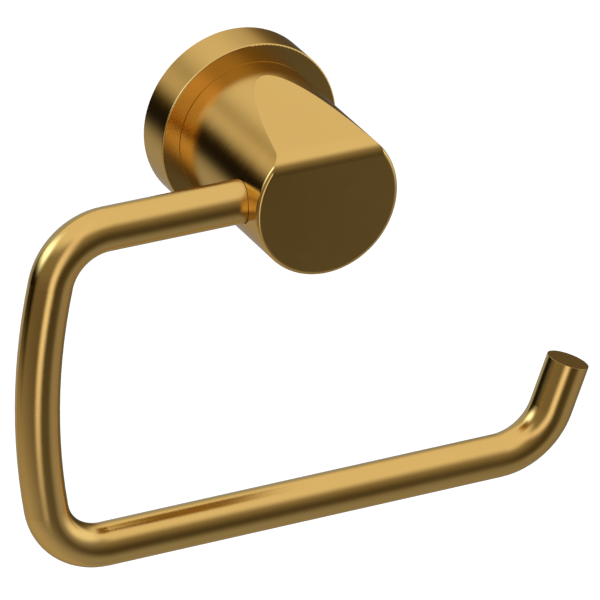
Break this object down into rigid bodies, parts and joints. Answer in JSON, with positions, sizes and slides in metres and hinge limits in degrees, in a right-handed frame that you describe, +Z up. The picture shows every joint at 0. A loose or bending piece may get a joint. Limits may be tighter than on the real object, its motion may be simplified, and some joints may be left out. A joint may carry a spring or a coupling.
{
  "type": "toilet paper holder",
  "caption": "Open-ended toilet roll holder: a round post on a wall rosette carries one bent bar that drops in a bow, runs back under the post and ends in an upturned tip.",
  "frame": {"origin": "on the wall plane, where the axis of the post meets it; this is also the middle of the two wall screw holes", "axes": "+Y into the wall, so the holder stands out towards -Y; +X to the right seen from the room; +Z up"},
  "size_m": [0.1806, 0.0627, 0.1333],
  "materials": {
    "satin_gold": "satin",
    "bracket_steel": "turned and zinc plated",
    "screw_steel": "plain"
  },
  "bodies": {
    "root": {"wall_bracket": "bracket_steel", "rosette": "satin_gold", "rosette_set_screw": "screw_steel", "post": "satin_gold", "post_locating_pin": "screw_steel", "post_lock_washer": "screw_steel", "post_bolt": "screw_steel", "arm": "satin_gold", "arm_locking_screw": "screw_steel"}
  },
  "joints": []
}
